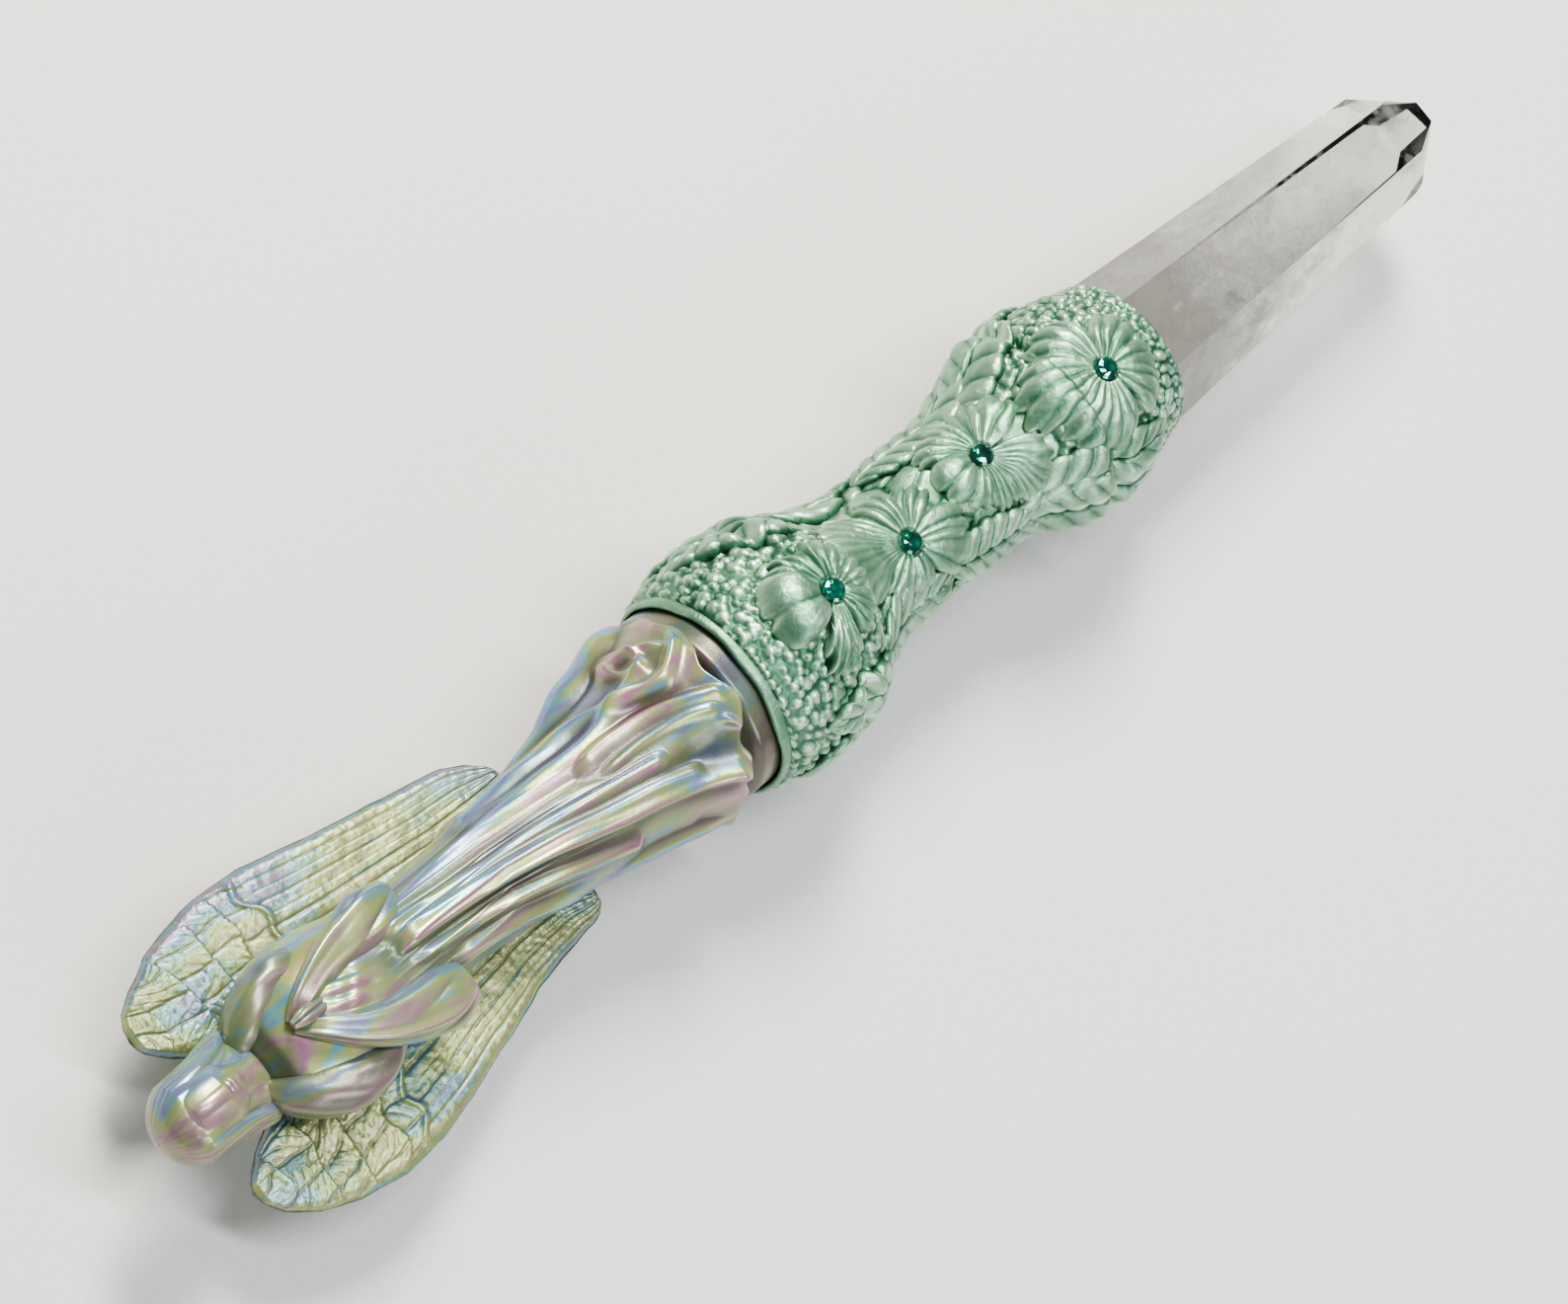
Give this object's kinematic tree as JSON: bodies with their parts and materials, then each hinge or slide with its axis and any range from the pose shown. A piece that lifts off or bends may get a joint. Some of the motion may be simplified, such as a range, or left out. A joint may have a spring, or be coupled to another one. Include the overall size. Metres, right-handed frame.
{
  "type": "crystal wand",
  "caption": "Magic wand: a six-sided quartz point set in a clay grip of flowers and leaves, with a winged praying figure as its other end.",
  "frame": {"origin": "middle of the wand's footprint, on the surface that it lies on", "axes": "+X along the wand from the figure's head to the quartz tip, +Y to the figure's left, +Z out of its front; the wand lies on its back"},
  "size_m": [0.22, 0.0388, 0.0326],
  "materials": {
    "quartz": "natural quartz, clear at the tip and milky towards the root",
    "emerald_glass": "foil-backed faceted glass",
    "green_clay": "baked polymer clay brushed with mica powder, satin",
    "leaf_clay": "darker green polymer clay brushed with mica powder, satin",
    "pearl_clay": "pearl polymer clay with an interference sheen",
    "dowel_wood": "plain birch dowel"
  },
  "bodies": {
    "root": {"back_left_collar_leaf": "leaf_clay", "back_right_collar_leaf": "leaf_clay", "back_tip_flower": "green_clay", "back_tip_flower_rhinestone": "emerald_glass", "back_waist_flower": "green_clay", "back_waist_flower_rhinestone": "emerald_glass", "collar_flower": "green_clay", "collar_flower_rhinestone": "emerald_glass", "collar_lip": "green_clay", "core_rod": "dowel_wood", "figure_base": "pearl_clay", "grip_sheath": "green_clay", "hair": "pearl_clay", "head": "pearl_clay", "left_collar_leaf": "leaf_clay", "left_forearm_sleeve": "pearl_clay", "left_tip_leaf": "leaf_clay", "left_upper_sleeve": "pearl_clay", "left_waist_leaf_1": "leaf_clay", "left_waist_leaf_2": "leaf_clay", "left_wing": "pearl_clay", "lower_waist_flower": "green_clay", "lower_waist_flower_rhinestone": "emerald_glass", "praying_hands": "pearl_clay", "quartz_crystal": "quartz", "right_collar_leaf": "leaf_clay", "right_forearm_sleeve": "pearl_clay", "right_tip_leaf": "leaf_clay", "right_upper_sleeve": "pearl_clay", "right_waist_leaf_1": "leaf_clay", "right_waist_leaf_2": "leaf_clay", "right_wing": "pearl_clay", "robe": "pearl_clay", "tip_flower": "green_clay", "tip_flower_rhinestone": "emerald_glass", "upper_waist_flower": "green_clay", "upper_waist_flower_rhinestone": "emerald_glass"}
  },
  "joints": []
}
